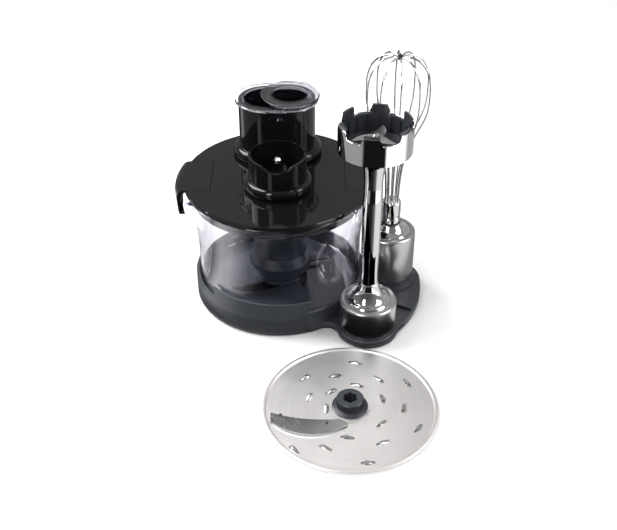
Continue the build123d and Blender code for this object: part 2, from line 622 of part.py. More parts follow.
# ------------------------------------------------------------------ drive inside the lid
with BuildPart() as drive_pin:
    spin([(0, BOX_LOW + 0.5), (DRIVE_PIN_R, BOX_LOW + 0.5), (DRIVE_PIN_R, DRIVE_PIN_TOP - 9),
          (DRIVE_PIN_R + 1.2, DRIVE_PIN_TOP - 8), (DRIVE_PIN_R + 1.2, DRIVE_PIN_TOP - 5), (3.9, DRIVE_PIN_TOP - 2.5),
          (2.4, DRIVE_PIN_TOP - 0.6), (0, DRIVE_PIN_TOP)], 0, INPUT_Y)
save(drive_pin, "drive_pin")

with BuildPart() as pinion:
    spur_gear(gear_points(GEAR_MODULE, PINION_TEETH, 4.9, 6.8, 0.12, 90), GEAR_LOW, GEAR_TOP, 0, INPUT_Y, DRIVE_PIN_R)
save(pinion, "pinion")

with BuildPart() as output_gear:
    spur_gear(gear_points(GEAR_MODULE, GEAR_TEETH, 10.9, 12.8, 0.12, 7.5), GEAR_LOW, GEAR_TOP, 0, 0, 4.0)
save(output_gear, "output_gear")

with BuildPart() as star_shaft:
    extrude(star_sketch(level(STAR_LOW), STAR_R), amount=BOX_LOW - STAR_LOW)
    ring(BOX_LOW, GEAR_LOW, STAR_R + 0.3, 0)
    ring(GEAR_LOW, LID_LOW + 2.5, 4.0, 0)
    chamfer(star_shaft.faces().sort_by(Axis.Z)[0].edges(), 0.4)
save(star_shaft, "star_shaft")

# ------------------------------------------------------------------ pushers
POCKET_INSET = CHUTE_WALL + 3.0

with BuildPart() as large_pusher:
    extrude(oval(PUSHER_LOW, -CHUTE_WALL - 0.5), amount=PUSHER_TOP - PUSHER_LOW)
    extrude(oval(CHUTE_TOP + FIT, 3.4), amount=PUSHER_TOP - CHUTE_TOP - FIT)
    fillet(large_pusher.edges().group_by(Axis.Z)[-1], 0.8)
    # a crescent pocket beside the small pusher's bore
    with BuildSketch(level(PUSHER_LOW + 3)) as pocket:
        with Locations((CHUTE_X, CHUTE_Y)):
            SlotOverall(CHUTE_L - 2 * POCKET_INSET, CHUTE_W - 2 * POCKET_INSET)
        with Locations((SMALL_X, SMALL_Y)):
            Circle(SMALL_R + 3.2, mode=Mode.SUBTRACT)
    extrude(pocket.sketch, amount=PUSHER_TOP - PUSHER_LOW, mode=Mode.SUBTRACT)
    ring(PUSHER_LOW, PUSHER_TOP + 1, SMALL_R + 0.5, 0, SMALL_X, SMALL_Y, mode=Mode.SUBTRACT)
save(large_pusher, "large_pusher")

with BuildPart() as small_pusher:
    ring(PUSHER_LOW + 2, PUSHER_TOP + FIT, SMALL_R, 0, SMALL_X, SMALL_Y)
    ring(PUSHER_TOP + FIT, SMALL_TOP, SMALL_FLANGE_R, 0, SMALL_X, SMALL_Y)
    fillet(small_pusher.edges().group_by(Axis.Z)[-1], 0.9)
    ring(PUSHER_LOW + 5, SMALL_TOP + 1, SMALL_HOLE_R, 0, SMALL_X, SMALL_Y, mode=Mode.SUBTRACT)
save(small_pusher, "small_pusher")

# ------------------------------------------------------------------ blending leg
with BuildPart() as leg_cup:
    spin([(0, LEG_LOW), (LEG_CUP_R - 0.4, LEG_LOW), (LEG_CUP_R, LEG_LOW + 0.4), (LEG_CUP_R, LEG_CUP_TOP - 2.3),
          (LEG_CUP_R - 1.6, LEG_CUP_TOP), (22.6, LEG_CUP_TOP), (22.2, LEG_CUP_TOP - 0.9), (21.4, LEG_CUP_TOP - 0.9),
          (21.2, LEG_CUP_TOP + 0.6), (17.5, LEG_CUP_TOP + 3.2), (14.0, LEG_CUP_TOP + 7.5), (11.5, LEG_CUP_TOP + 13),
          (9.4, LEG_CUP_TOP + 20), (0, LEG_CUP_TOP + 20)], LEG_X, LEG_Y)
    spin([(0, LEG_LOW), (LEG_CUP_R - 1.6, LEG_LOW), (LEG_CUP_R - 1.6, LEG_CUP_TOP - 4), (17, LEG_CUP_TOP - 4),
          (8.0, LEG_CUP_TOP + 6), (6.6, LEG_CUP_TOP + 10), (6.6, LEG_CUP_TOP + 20), (0, LEG_CUP_TOP + 20)],
         LEG_X, LEG_Y, mode=Mode.SUBTRACT)
save(leg_cup, "leg_cup")

with BuildPart() as leg_liner:
    ring(LEG_LOW + 0.7, LEG_CUP_TOP - 4, LEG_CUP_R - 1.65, LEG_CUP_R - 4.2, LEG_X, LEG_Y)
    ring(LEG_CUP_TOP - 7, LEG_CUP_TOP - 4, LEG_CUP_R - 1.65, 5.5, LEG_X, LEG_Y)
    for lug_x in (-1, 1):
        with BuildSketch(level(LEG_LOW + 1.5, LEG_X, LEG_Y)) as lug:
            with Locations((lug_x * (LEG_CUP_R - 4.8), 0)):
                Rectangle(2.0, 7)
        extrude(lug.sketch, amount=3)
save(leg_liner, "leg_liner")

with BuildPart() as leg_tube:
    spin([(6.55, LEG_CUP_TOP + 12), (6.55, LEG_CUP_TOP + 20.02), (9.4, LEG_CUP_TOP + 20.02),
          (8.6, LEG_CUP_TOP + 24), (9.4, 146), (9.9, 188), (11.2, 196), (16, 202.5), (24, 207.0),
          (LEG_RING_R - 1.25, LEG_RING_LOW), (LEG_RING_R - 1.25, LEG_RING_LOW + 1.4),
          (23, 208.9), (14.6, 204.6), (8.6, 197), (7.8, 188), (7.6, 146), (6.7, LEG_CUP_TOP + 24),
          (5.6, LEG_CUP_TOP + 20.05), (5.6, LEG_CUP_TOP + 12)], LEG_X, LEG_Y)
save(leg_tube, "leg_tube")


def castellated(low, top, valley, outer, inner, half_angle):
    """A ring whose top edge carries six tabs with wide valleys between them."""
    ring(low, top, outer, inner, LEG_X, LEG_Y)
    for index in range(6):
        middle = 50 + 60 * index
        reach = outer + 4
        with BuildSketch(level(valley, LEG_X, LEG_Y)) as gap:
            with BuildLine():
                Polyline((0, 0), polar(reach, middle - half_angle), polar(reach * 1.2, middle),
                         polar(reach, middle + half_angle), close=True)
            make_face()
        extrude(gap.sketch, amount=top - valley + 1, mode=Mode.SUBTRACT)


with BuildPart() as foot_ring:
    castellated(LEG_RING_LOW + 0.05, LEG_RING_TOP, LEG_RING_VALLEY, LEG_RING_R, LEG_RING_R - 1.2, 17)
save(foot_ring, "foot_ring")

with BuildPart() as foot_liner:
    castellated(LEG_RING_LOW + 1.45, LEG_TAB_TOP, LEG_TAB_VALLEY, LEG_RING_R - 1.25, LEG_RING_R - 3.6, 17.5)
    spin([(LEG_RING_R - 1.25, LEG_RING_LOW + 1.45), (LEG_RING_R - 1.25, LEG_RING_LOW + 3.2), (22.5, 210.8),
          (12.5, 210.0), (12.5, 205.8), (23.0, 209.0)], LEG_X, LEG_Y)
    for index in range(18):
        with BuildSketch(level(LEG_RING_LOW + 3, LEG_X, LEG_Y, turn=20 * index)) as rib:
            with Locations((LEG_RING_R - 3.9, 0)):
                Rectangle(1.6, 1.0)
        extrude(rib.sketch, amount=15)
save(foot_liner, "foot_liner")

with BuildPart() as leg_shaft:
    ring(LEG_LOW + 14, LEG_BLADE_Z - 0.6, LEG_SHAFT_R, 0, LEG_X, LEG_Y)
    ring(LEG_BLADE_Z - 0.6, LEG_BLADE_Z + 1.3, 2.0, 0, LEG_X, LEG_Y)
save(leg_shaft, "leg_shaft")

with BuildPart() as leg_bushes:
    ring(LEG_CUP_TOP - 6.9, LEG_CUP_TOP + 1, 5.5, LEG_SHAFT_R + SNUG, LEG_X, LEG_Y)
    ring(120, 130, 7.0, LEG_SHAFT_R + SNUG, LEG_X, LEG_Y)
    ring(190, 200, 7.8, LEG_SHAFT_R + SNUG, LEG_X, LEG_Y)
save(leg_bushes, "leg_bushes")

with BuildPart() as leg_seal:
    ring(200.05, 208, 7.8, LEG_SHAFT_R + SNUG, LEG_X, LEG_Y)
    chamfer(leg_seal.edges().group_by(Axis.Z)[-1].sort_by(SortBy.RADIUS)[-1], 1.5)
save(leg_seal, "leg_seal")

with BuildPart() as leg_coupling:
    ring(LEG_LOW + 6, LEG_LOW + 14, 6.0, 0, LEG_X, LEG_Y)
    extrude(star_sketch(level(LEG_LOW + 6, LEG_X, LEG_Y), 4.2, lobes=4, depth=0.8), amount=6, mode=Mode.SUBTRACT)
save(leg_coupling, "leg_coupling")

with BuildPart() as leg_blade:
    ring(LEG_BLADE_Z - 0.5, LEG_BLADE_Z + 0.6, 6.5, 0, LEG_X, LEG_Y)
    for wing_turn in (-161, -38, 69):
        with BuildSketch(level(LEG_BLADE_Z - 0.5, LEG_X, LEG_Y, turn=wing_turn)) as wing:
            with BuildLine():
                edge = ThreePointArc((2, -5.2), (14, -5.6), (23.0, 0.5))
                back = ThreePointArc(edge @ 1, (14, 2.4), (3, 5.2))
                Line(back @ 1, edge @ 0)
            make_face()
        extrude(wing.sketch, amount=1.1)
    ring(LEG_BLADE_Z - 1, LEG_BLADE_Z + 1, 2.05, 0, LEG_X, LEG_Y, mode=Mode.SUBTRACT)
save(leg_blade, "leg_blade")

with BuildPart() as blade_rivet:
    spin([(0, LEG_BLADE_Z + 1.35), (2.0, LEG_BLADE_Z + 1.35), (2.0, LEG_BLADE_Z + 0.65), (4.2, LEG_BLADE_Z + 0.65),
          (3.6, LEG_BLADE_Z + 2.2), (1.8, LEG_BLADE_Z + 3.0), (0, LEG_BLADE_Z + 3.1)], LEG_X, LEG_Y)
save(blade_rivet, "blade_rivet")

# ------------------------------------------------------------------ whisk and its gearbox
with BuildPart() as whisk_cup:
    spin([(0, WHISK_LOW), (WHISK_CUP_R - 0.4, WHISK_LOW), (WHISK_CUP_R, WHISK_LOW + 0.4),
          (WHISK_CUP_R, WHISK_CUP_TOP - 2.2), (WHISK_CUP_R - 1.6, WHISK_CUP_TOP), (21.8, WHISK_CUP_TOP),
          (21.4, WHISK_CUP_TOP - 0.8), (20.8, WHISK_CUP_TOP - 0.8), (20.4, WHISK_CUP_TOP + 0.4),
          (16.0, WHISK_CUP_TOP + 3.6), (12.4, WHISK_CUP_TOP + 7.4), (10.8, WHISK_CUP_TOP + 10), (0, WHISK_CUP_TOP + 10)],
         WHISK_X, WHISK_Y)
    spin([(0, WHISK_LOW), (WHISK_CUP_R - 1.6, WHISK_LOW), (WHISK_CUP_R - 1.6, WHISK_CUP_TOP - 5),
          (9.0, WHISK_CUP_TOP - 5), (9.0, WHISK_CUP_TOP + 10), (0, WHISK_CUP_TOP + 10)],
         WHISK_X, WHISK_Y, mode=Mode.SUBTRACT)
save(whisk_cup, "whisk_cup")

with BuildPart() as whisk_liner:
    ring(WHISK_LOW + 0.7, WHISK_GEAR_LOW - 3, WHISK_CUP_R - 1.65, WHISK_CUP_R - 4.2, WHISK_X, WHISK_Y)
    ring(WHISK_GEAR_LOW - 5, WHISK_GEAR_LOW - 3, WHISK_CUP_R - 1.65, 6.0, WHISK_X, WHISK_Y)
save(whisk_liner, "whisk_liner")

with BuildPart() as ring_gear:
    ring_points = gear_points(WHISK_GEAR_MODULE, RING_TEETH, 18.5, 20.2, -0.12, 3.75)
    ring(WHISK_GEAR_LOW - 2.95, WHISK_GEAR_TOP + 0.5, WHISK_CUP_R - 1.65, 0, WHISK_X, WHISK_Y)
    with BuildSketch(level(WHISK_GEAR_LOW - 0.5, WHISK_X, WHISK_Y)) as teeth:
        with BuildLine():
            Polyline(*ring_points, close=True)
        make_face()
    extrude(teeth.sketch, amount=WHISK_GEAR_TOP - WHISK_GEAR_LOW + 2, mode=Mode.SUBTRACT)
    ring(WHISK_GEAR_LOW - 3, WHISK_GEAR_LOW, 6.0, 0, WHISK_X, WHISK_Y, mode=Mode.SUBTRACT)
save(ring_gear, "ring_gear")

with BuildPart() as whisk_bushes:
    ring(WHISK_GEAR_LOW - 5, WHISK_GEAR_LOW - 0.5, 6.0, 2.5 + SNUG, WHISK_X, WHISK_Y)
    ring(WHISK_CUP_TOP - 4.9, WHISK_CUP_TOP + 10, 9.0, 6.0 + SNUG, WHISK_X, WHISK_Y)
save(whisk_bushes, "whisk_bushes")

with BuildPart() as o_ring:
    ring(WHISK_CUP_TOP + 10, WHISK_CUP_TOP + 11, 10.4, 9.0, WHISK_X, WHISK_Y)
    fillet(o_ring.edges().filter_by(GeomType.CIRCLE).sort_by(SortBy.RADIUS)[-1], 0.4)
save(o_ring, "o_ring")

with BuildPart() as sun_gear:
    sun_points = gear_points(WHISK_GEAR_MODULE, SUN_TEETH, 3.85, 5.45, 0.1, 0)
    spur_gear(sun_points, WHISK_GEAR_LOW, WHISK_GEAR_TOP, WHISK_X, WHISK_Y, 2.5)
save(sun_gear, "sun_gear")

with BuildPart() as sun_shaft:
    ring(WHISK_LOW + 22, WHISK_GEAR_TOP, 2.5, 0, WHISK_X, WHISK_Y)
    ring(WHISK_LOW + 16, WHISK_LOW + 24, 6.0, 0, WHISK_X, WHISK_Y)
    star = star_sketch(level(WHISK_LOW + 16, WHISK_X, WHISK_Y), 4.2, lobes=4, depth=0.8)
    extrude(star, amount=5, mode=Mode.SUBTRACT)
save(sun_shaft, "sun_shaft")

PLANET_ORBIT = WHISK_GEAR_MODULE * (SUN_TEETH + PLANET_TEETH) / 2
for index in range(3):
    planet_x, planet_y = polar(PLANET_ORBIT, 120 * index)
    planet_points = gear_points(WHISK_GEAR_MODULE, PLANET_TEETH, 6.25, 7.8, 0.1, 120 * index + 10)
    with BuildPart() as planet:
        spur_gear(planet_points, WHISK_GEAR_LOW + 0.2, WHISK_GEAR_TOP - 0.2,
                  WHISK_X + planet_x, WHISK_Y + planet_y, 2.0 + SNUG)
    save(planet, f"planet_gear_{index + 1}")

with BuildPart() as planet_carrier:
    ring(WHISK_GEAR_TOP + 0.8, WHISK_GEAR_TOP + 3.8, 16.0, 0, WHISK_X, WHISK_Y)
    ring(WHISK_GEAR_TOP + 3.8, WHISK_CUP_TOP + 14, 6.0, 0, WHISK_X, WHISK_Y)
    for index in range(3):
        pin_x, pin_y = polar(PLANET_ORBIT, 120 * index)
        ring(WHISK_GEAR_LOW, WHISK_GEAR_TOP + 1, 2.0, 0, WHISK_X + pin_x, WHISK_Y + pin_y)
save(planet_carrier, "planet_carrier")

with BuildPart() as whisk_collar:
    spin([(6.0, WHISK_CUP_TOP + 11.3), (9.6, WHISK_CUP_TOP + 11.3), (10.0, WHISK_CUP_TOP + 12), (10.0, 88), (9.4, 89),
          (9.4, 92), (9.9, 93), (9.7, COLLAR_TOP - 1), (9.0, COLLAR_TOP), (0, COLLAR_TOP), (0, WHISK_CUP_TOP + 14),
          (6.0, WHISK_CUP_TOP + 14)], WHISK_X, WHISK_Y)
save(whisk_collar, "whisk_collar")

with BuildPart() as whisk_wires:
    for index in range(WIRE_COUNT):
        wire_plane = upright(WHISK_X, WHISK_Y, turn=18 + 360 / WIRE_COUNT * index)
        with BuildLine(wire_plane) as wire:
            FilletPolyline((6.6, COLLAR_TOP - 6), (6.8, 126), (13.5, 168), (31.8, 214), (28.6, 251), (3.3, WHISK_TOP - 3),
                           radius=[60, 90, 24, 18])
        with BuildSketch(Plane(origin=wire.line @ 0, z_dir=wire.line % 0)) as section:
            Circle(WIRE_R)
        sweep(section.sketch, path=wire.line)
save(whisk_wires, "whisk_wires")

with BuildPart() as whisk_tip:
    spin([(0, WHISK_TOP - 4.6), (3.4, WHISK_TOP - 4.6), (3.9, WHISK_TOP - 3.9), (3.7, WHISK_TOP - 2.4),
          (1.9, WHISK_TOP - 1.5), (1.4, WHISK_TOP - 0.4), (0.9, WHISK_TOP), (0, WHISK_TOP)], WHISK_X, WHISK_Y)
save(whisk_tip, "whisk_tip")

# ------------------------------------------------------------------ slicing and grating disc
SLOT_ROWS, SLOTS_A_ROW = 3, 6
SLOT_L, SLOT_W = 12.0, 3.8
SLOT_TURN = 85.0          # nearly along the disc's own rotation
RIM_IN_R = 77.6           # the rolled rim starts here


def slot_place(row, index):
    """Radius and angle of one grating hole; the rows wind outward clockwise."""
    step = 56.5 - 1.2 * row
    return 22 + 17.3 * row + 3.5 * index, 187 - 25 * row - step * index


with BuildPart() as disc_plate:
    with BuildSketch(upright(DISC_X, DISC_Y)) as disc_half:
        with BuildLine():
            Polyline((10.2, DISC_Z), (RIM_IN_R + 0.3, DISC_Z), (RIM_IN_R + 1.7, 2.7), (DISC_R - 1.6, 2.7),
                     (DISC_R - 0.8, 1.8), (DISC_R - 0.8, 0.0), (DISC_R, 0.0), (DISC_R, 2.2),
                     (DISC_R - 0.5, 3.1), (DISC_R - 1.4, 3.5), (RIM_IN_R + 1.4, 3.5),
                     (RIM_IN_R, DISC_Z + DISC_THICK), (10.2, DISC_Z + DISC_THICK), close=True)
        make_face()
    revolve(disc_half.sketch, axis=axis_at(DISC_X, DISC_Y))
    with BuildSketch(level(0, DISC_X, DISC_Y)) as holes:
        for row in range(SLOT_ROWS):
            for index in range(SLOTS_A_ROW):
                slot_r, slot_angle = slot_place(row, index)
                with Locations(Location((*polar(slot_r, slot_angle), 0), slot_angle + SLOT_TURN)):
                    SlotOverall(SLOT_L, SLOT_W)
    extrude(holes.sketch, amount=5, mode=Mode.SUBTRACT)
    # the curved mouth in front of the slicing blade
    with BuildSketch(level(0, DISC_X, DISC_Y)) as mouth:
        with BuildLine():
            inner = ThreePointArc(polar(75, 193), polar(50.5, 224), polar(23, 268))
            Line(inner @ 1, polar(27, 264))
            outer = ThreePointArc(polar(27, 264), polar(55, 227.5), polar(76.5, 197))
            Line(outer @ 1, inner @ 0)
        make_face()
    extrude(mouth.sketch, amount=5, mode=Mode.SUBTRACT)
save(disc_plate, "disc_plate")

with BuildPart() as slicing_blade:
    with BuildSketch(level(DISC_Z + DISC_THICK + 0.02, DISC_X, DISC_Y)) as knife:
        with BuildLine():
            cut_edge = ThreePointArc(polar(75.5, 194), polar(51.5, 225), polar(24, 268))
            Line(cut_edge @ 1, polar(19.5, 240))
            heel = ThreePointArc(polar(19.5, 240), polar(40, 206), polar(73.5, 187))
            Line(heel @ 1, cut_edge @ 0)
        make_face()
    extrude(knife.sketch, amount=0.9)
save(slicing_blade, "slicing_blade")

with BuildPart() as disc_rivets:
    for rivet_r, rivet_angle in ((65.0, 190.5), (31.0, 226.0)):
        rivet_x, rivet_y = polar(rivet_r, rivet_angle)
        ring(DISC_Z + DISC_THICK + 0.95, DISC_Z + DISC_THICK + 1.4, 1.4, 0, DISC_X + rivet_x, DISC_Y + rivet_y)
save(disc_rivets, "disc_rivets")

with BuildPart() as disc_hub:
    spin([(0, 0.3), (10.15, 0.3), (10.15, DISC_Z + DISC_THICK + 0.02), (16.7, DISC_Z + DISC_THICK + 0.02), (16.7, 3.8),
          (15.2, 4.6), (12.9, 5.2), (12.6, 12.7), (11.8, 13.5), (0, 13.5)], DISC_X, DISC_Y)
    extrude(star_sketch(level(0, DISC_X, DISC_Y), STAR_R + 0.6), amount=20, mode=Mode.SUBTRACT)
save(disc_hub, "disc_hub")
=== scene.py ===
import json
import math

import bmesh
import bpy
from mathutils import Euler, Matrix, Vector


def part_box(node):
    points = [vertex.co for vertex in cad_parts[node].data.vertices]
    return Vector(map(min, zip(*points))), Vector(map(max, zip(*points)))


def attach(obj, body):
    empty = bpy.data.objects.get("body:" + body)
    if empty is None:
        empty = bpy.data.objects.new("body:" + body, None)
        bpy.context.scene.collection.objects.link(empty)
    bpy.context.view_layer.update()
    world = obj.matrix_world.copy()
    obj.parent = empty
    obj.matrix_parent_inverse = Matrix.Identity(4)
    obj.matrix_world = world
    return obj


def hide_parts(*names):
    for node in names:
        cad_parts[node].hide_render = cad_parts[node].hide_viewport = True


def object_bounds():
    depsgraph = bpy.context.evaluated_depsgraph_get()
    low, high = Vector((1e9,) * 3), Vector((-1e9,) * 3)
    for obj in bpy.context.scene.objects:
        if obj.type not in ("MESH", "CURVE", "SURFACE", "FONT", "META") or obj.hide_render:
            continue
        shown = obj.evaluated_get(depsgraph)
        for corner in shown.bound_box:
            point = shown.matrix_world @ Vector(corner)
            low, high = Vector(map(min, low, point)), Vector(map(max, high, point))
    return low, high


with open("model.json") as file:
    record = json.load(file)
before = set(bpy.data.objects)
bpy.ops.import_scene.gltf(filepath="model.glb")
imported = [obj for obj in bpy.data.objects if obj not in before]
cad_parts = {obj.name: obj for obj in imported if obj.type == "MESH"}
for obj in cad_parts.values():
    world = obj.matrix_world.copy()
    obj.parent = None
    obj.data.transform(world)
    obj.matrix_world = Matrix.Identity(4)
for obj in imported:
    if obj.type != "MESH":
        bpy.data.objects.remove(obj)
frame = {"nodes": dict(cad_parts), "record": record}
cad_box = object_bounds()

MM = 0.001
JOIN = 0.05               # millimetres that neighbouring pieces run into each other


def middle(node):
    """The centre of a CAD node's box."""
    low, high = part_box(node)
    return (low + high) / 2


def height(node, top=True):
    """The top or the bottom of a CAD node, in metres."""
    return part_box(node)[1 if top else 0].z


BOWL_AXIS = middle("bowl_pin")
LEG_AXIS = middle("leg_shaft")
WHISK_AXIS = middle("sun_shaft")
DISC_AXIS = middle("disc_hub")
SOCKET_AXIS = middle("drive_pin")


# ------------------------------------------------------------------ node helpers
def add(tree, kind, inputs=None, **settings):
    """A shader node; each input is a value, or another node's socket to link."""
    node = tree.nodes.new(kind)
    for key, value in settings.items():
        setattr(node, key, value)
    for key, value in (inputs or {}).items():
        if isinstance(value, bpy.types.NodeSocket):
            tree.links.new(value, node.inputs[key])
        else:
            node.inputs[key].default_value = value
    return node


def new_finish(name, **values):
    """A material and its Principled shader, with plain values on the shader's own sockets."""
    material = bpy.data.materials.new(name)
    material.use_nodes = True
    shader = material.node_tree.nodes["Principled BSDF"]
    for key, value in values.items():
        shader.inputs[key.replace("_", " ")].default_value = value
    return material, material.node_tree, shader


def cloud(tree, scale, detail=2.0):
    """Soft noise fixed to the object, with scale cells a metre."""
    place = add(tree, "ShaderNodeTexCoord").outputs["Object"]
    return add(tree, "ShaderNodeTexNoise", {"Vector": place, "Scale": scale, "Detail": detail}).outputs["Fac"]


def span(tree, value, low, high):
    """Noise, which keeps mostly between 0.3 and 0.7, stretched between two values."""
    node = add(tree, "ShaderNodeMapRange", {"Value": value, "From Min": 0.3, "From Max": 0.7,
                                            "To Min": low, "To Max": high})
    return node.outputs["Result"]


def blend_colours(tree, value, dark, light):
    """Noise turned into a run from one colour to another."""
    share = span(tree, value, 0.0, 1.0)
    node = add(tree, "ShaderNodeMix", {"Factor": share}, data_type="RGBA")
    ends = {"A": (*dark, 1), "B": (*light, 1)}
    for socket in node.inputs:
        if socket.type == "RGBA":
            socket.default_value = ends[socket.name]
    return next(socket for socket in node.outputs if socket.type == "RGBA")


def relief(tree, shader, value, depth, strength=1.0):
    """Fine relief of a real depth, in metres."""
    bump = add(tree, "ShaderNodeBump", {"Height": value, "Distance": depth, "Strength": strength})
    tree.links.new(bump.outputs["Normal"], shader.inputs["Normal"])


def vector_step(tree, operation, first, second):
    """One sum on two vectors."""
    return add(tree, "ShaderNodeVectorMath", {0: first, 1: second}, operation=operation).outputs[0]


def turned_lines(tree, axis, pitch):
    """Lines left by turning or brushing about a vertical axis, pitch metres apart."""
    place = add(tree, "ShaderNodeTexCoord").outputs["Object"]
    away = vector_step(tree, "SUBTRACT", place, (axis.x, axis.y, 0))
    flat = vector_step(tree, "MULTIPLY", away, (1, 1, 0))
    radius = add(tree, "ShaderNodeVectorMath", {0: flat}, operation="LENGTH").outputs["Value"]
    direction = add(tree, "ShaderNodeVectorMath", {0: flat}, operation="NORMALIZE").outputs[0]
    rise = vector_step(tree, "MULTIPLY", away, (0, 0, 1 / pitch))
    spot = vector_step(tree, "ADD", direction, rise)
    rings = add(tree, "ShaderNodeMath", {0: radius, 1: 1 / pitch}, operation="MULTIPLY").outputs[0]
    noise = add(tree, "ShaderNodeTexNoise", {"Vector": spot, "W": rings, "Scale": 1.0, "Detail": 3.0},
                noise_dimensions="4D")
    return noise.outputs["Fac"]


# ------------------------------------------------------------------ finishes
def satin_plastic(name, colour, roughness, grain=0.035):
    """Moulded plastic with a fine spark-eroded grain; grain is its depth in millimetres."""
    material, tree, shader = new_finish(name, IOR=1.5)
    darker = [c * 0.86 for c in colour]
    lighter = [c * 1.1 for c in colour]
    tree.links.new(blend_colours(tree, cloud(tree, 28), darker, lighter), shader.inputs["Base Color"])
    worn = span(tree, cloud(tree, 160), roughness - 0.05, roughness + 0.05)
    tree.links.new(worn, shader.inputs["Roughness"])
    relief(tree, shader, cloud(tree, 2600, 3.0), grain * MM, 0.6)
    return material


def gloss_plastic(name, colour):
    """Piano black: a mirror with faint smears and specks of dust."""
    material, tree, shader = new_finish(name, IOR=1.42)
    lighter = [c * 1.8 for c in colour]
    tree.links.new(blend_colours(tree, cloud(tree, 900, 3.0), colour, lighter), shader.inputs["Base Color"])
    tree.links.new(span(tree, cloud(tree, 26, 4.0), 0.03, 0.085), shader.inputs["Roughness"])
    relief(tree, shader, cloud(tree, 55), 0.02 * MM, 0.25)
    return material


def clear_plastic(name, tint, edge, density, haze):
    """Clear plastic whose edge colour shows in its depth; lamps reach what is behind it."""
    material, tree, shader = new_finish(name, Base_Color=(*tint, 1), IOR=1.49, Transmission_Weight=1.0)
    tree.links.new(span(tree, cloud(tree, 30, 3.0), 0.0, haze), shader.inputs["Roughness"])
    relief(tree, shader, cloud(tree, 40), 0.03 * MM, 0.3)
    through = add(tree, "ShaderNodeBsdfTransparent", {"Color": (*tint, 1)})
    lamp_ray = add(tree, "ShaderNodeLightPath").outputs["Is Shadow Ray"]
    glass = add(tree, "ShaderNodeMixShader", {0: lamp_ray, 1: shader.outputs[0], 2: through.outputs[0]})
    depth = add(tree, "ShaderNodeVolumeAbsorption", {"Color": (*edge, 1), "Density": density})
    output = tree.nodes["Material Output"]
    tree.links.new(glass.outputs[0], output.inputs["Surface"])
    tree.links.new(depth.outputs[0], output.inputs["Volume"])
    return material


def soft_rubber(name, colour):
    """Rubber with a bloomed, slightly uneven surface."""
    material, tree, shader = new_finish(name, IOR=1.48)
    tree.links.new(blend_colours(tree, cloud(tree, 90, 4.0), colour, [c * 1.6 for c in colour]),
                   shader.inputs["Base Color"])
    tree.links.new(span(tree, cloud(tree, 300), 0.6, 0.75), shader.inputs["Roughness"])
    relief(tree, shader, cloud(tree, 1800, 3.0), 0.05 * MM, 0.7)
    return material


def steel(name, axis, colour, smooth, rough, pitch, depth):
    """Turned or brushed steel; smooth to rough is its roughness, pitch and depth (mm) its lines."""
    material, tree, shader = new_finish(name, Metallic=1.0)
    lines = turned_lines(tree, axis, pitch * MM)
    tree.links.new(blend_colours(tree, lines, [c * 0.9 for c in colour], colour), shader.inputs["Base Color"])
    worn = add(tree, "ShaderNodeMath", {0: lines, 1: cloud(tree, 45, 3.0)}, operation="ADD").outputs[0]
    halved = add(tree, "ShaderNodeMath", {0: worn, 1: 0.5}, operation="MULTIPLY").outputs[0]
    tree.links.new(span(tree, halved, smooth, rough), shader.inputs["Roughness"])
    relief(tree, shader, lines, depth * MM, 0.5)
    return material


def bronze(name, colour):
    """Sintered bronze with open pores."""
    material, tree, shader = new_finish(name, Metallic=1.0)
    tree.links.new(blend_colours(tree, cloud(tree, 1500, 4.0), [c * 0.7 for c in colour], colour),
                   shader.inputs["Base Color"])
    tree.links.new(span(tree, cloud(tree, 500), 0.35, 0.5), shader.inputs["Roughness"])
    relief(tree, shader, cloud(tree, 2200, 3.0), 0.05 * MM, 0.5)
    return material


PLASTICS = {
    "grey_plastic": satin_plastic("grey_plastic", (0.036, 0.040, 0.046), 0.42),
    "black_plastic": satin_plastic("black_plastic", (0.009, 0.009, 0.010), 0.44),
    "hub_plastic": satin_plastic("hub_plastic", (0.028, 0.031, 0.038), 0.36, 0.02),
    # the hub inside the bowl: hub plastic darkened to about half, painted shade for the bowl under the black
    # lid
    "hub_plastic_painted_shade": satin_plastic("hub_plastic_painted_shade", (0.012, 0.015, 0.021), 0.34, 0.02),
    "gear_plastic": satin_plastic("gear_plastic", (0.70, 0.69, 0.64), 0.42, 0.02),
    "gloss_black": gloss_plastic("gloss_black", (0.004, 0.004, 0.0045)),
    "clear_plastic": clear_plastic("clear_plastic", (0.93, 0.93, 0.95), (0.40, 0.37, 0.75), 16.0, 0.03),
    "pusher_plastic": clear_plastic("pusher_plastic", (0.86, 0.85, 0.89), (0.50, 0.48, 0.60), 26.0, 0.06),
    "rubber": soft_rubber("rubber", (0.014, 0.014, 0.014)),
    "bush_bronze": bronze("bush_bronze", (0.50, 0.34, 0.16)),
}

# slot: colour, smoothest and roughest, pitch and depth of the lines in millimetres
STEELS = {
    "brushed_steel": ((0.55, 0.55, 0.56), 0.27, 0.30, 0.22, 0.0015),
    # blades inside the bowl: blade steel darkened to a tenth, painted shade standing in for the dark
    # surroundings they reflect
    "blade_steel_painted_shade": ((0.10, 0.10, 0.105), 0.24, 0.32, 0.3, 0.003),
    "disc_steel": ((0.80, 0.78, 0.77), 0.42, 0.48, 0.5, 0.001),
    "polished_steel": ((0.74, 0.74, 0.73), 0.035, 0.07, 0.6, 0.0004),
    "blade_steel": ((0.62, 0.61, 0.60), 0.20, 0.30, 0.3, 0.003),
    "fastener_steel": ((0.52, 0.52, 0.52), 0.22, 0.34, 0.2, 0.01),
}
AXES = {"leg": LEG_AXIS, "whisk": WHISK_AXIS, "disc": DISC_AXIS, "socket": SOCKET_AXIS, "bowl": BOWL_AXIS}
steels = {}


def finish_at(slot, axis):
    """The finish of a record slot; steel has its lines about one of the named axes."""
    if slot in PLASTICS:
        return PLASTICS[slot]
    if (slot, axis) not in steels:
        steels[slot, axis] = steel(f"{slot}_{axis}", AXES[axis], *STEELS[slot])
    return steels[slot, axis]


def nearest_axis(node):
    """Which upright axis a node belongs to."""
    place = middle(node)
    return min(AXES, key=lambda name: (AXES[name] - place).xy.length)
